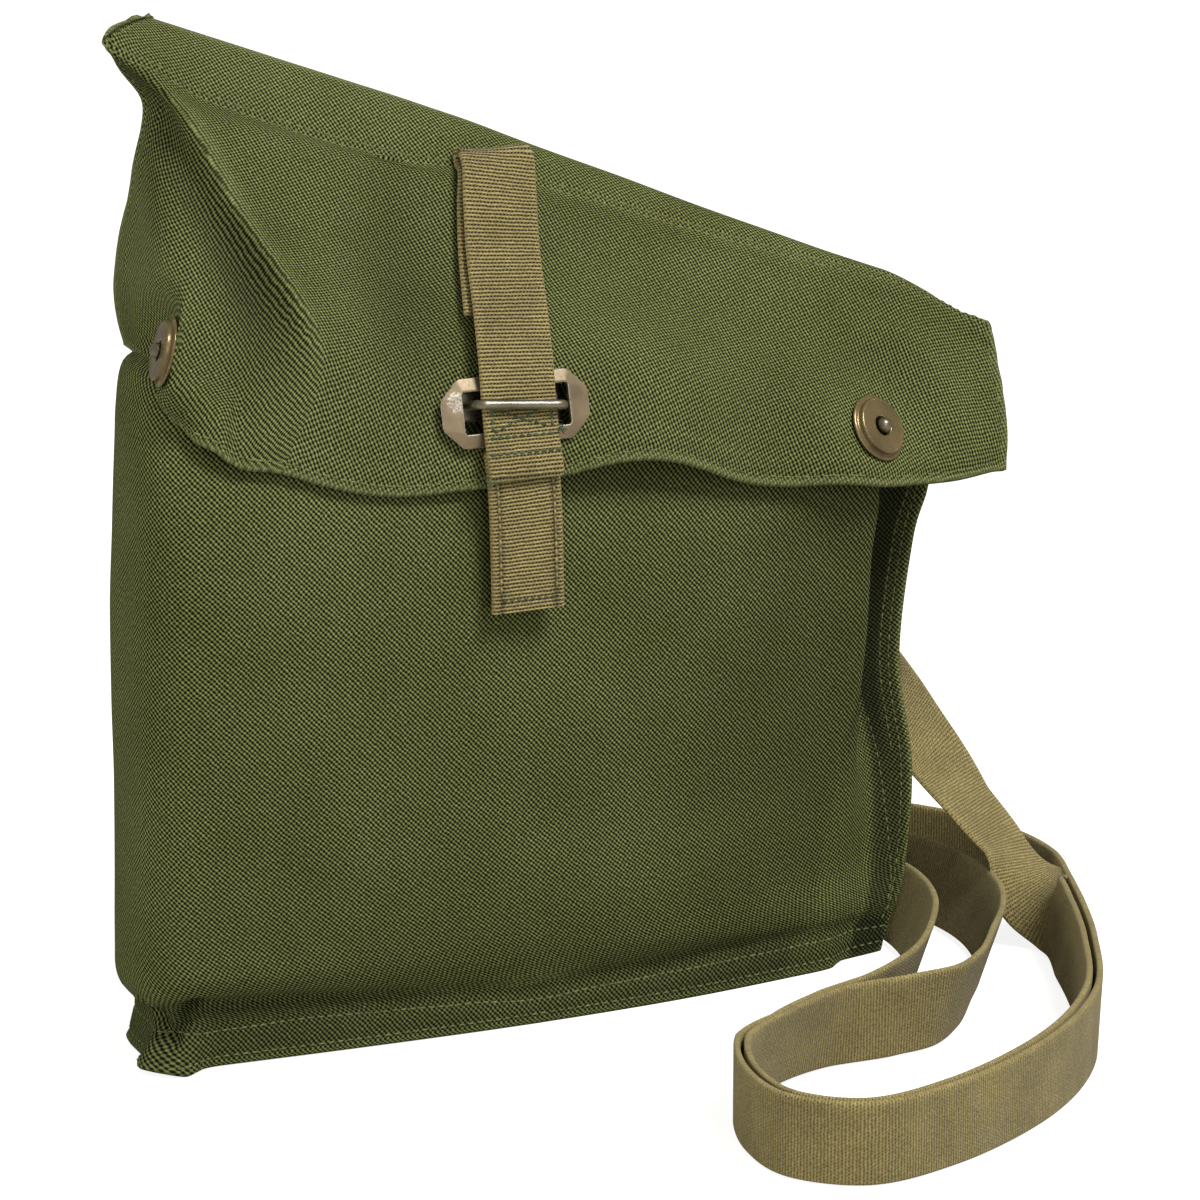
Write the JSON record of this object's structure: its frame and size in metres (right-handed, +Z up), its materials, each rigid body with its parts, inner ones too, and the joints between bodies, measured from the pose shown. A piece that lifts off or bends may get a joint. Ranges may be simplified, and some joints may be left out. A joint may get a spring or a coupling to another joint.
{
  "type": "canvas gas mask bag",
  "caption": "Canvas gas mask bag with a sloping top flap, a webbing closing strap under a wire staple, ball snaps and a webbing shoulder strap lying beside it",
  "frame": {"origin": "on the floor, on the underside of the floor panel, under the middle of the bag", "axes": "+X along the flat back panel to the bag's lower end, +Y out of the back panel, +Z up"},
  "size_m": [0.3132, 0.3119, 0.3094],
  "materials": {
    "canvas": "matte cotton duck",
    "webbing": "matte cotton webbing",
    "lacquered_metal": "worn brown lacquer",
    "bare_metal": "dull plated"
  },
  "bodies": {
    "root": {"front_panel": "canvas", "back_panel": "canvas", "bottom_panel": "canvas", "flap": "canvas", "closing_strap": "webbing", "pull_tab": "webbing", "shoulder_strap": "webbing", "eyelet_plate": "lacquered_metal", "snap_socket_left": "lacquered_metal", "snap_socket_right": "lacquered_metal", "staple": "bare_metal", "snap_stud_left": "bare_metal", "snap_stud_right": "bare_metal"}
  },
  "joints": []
}
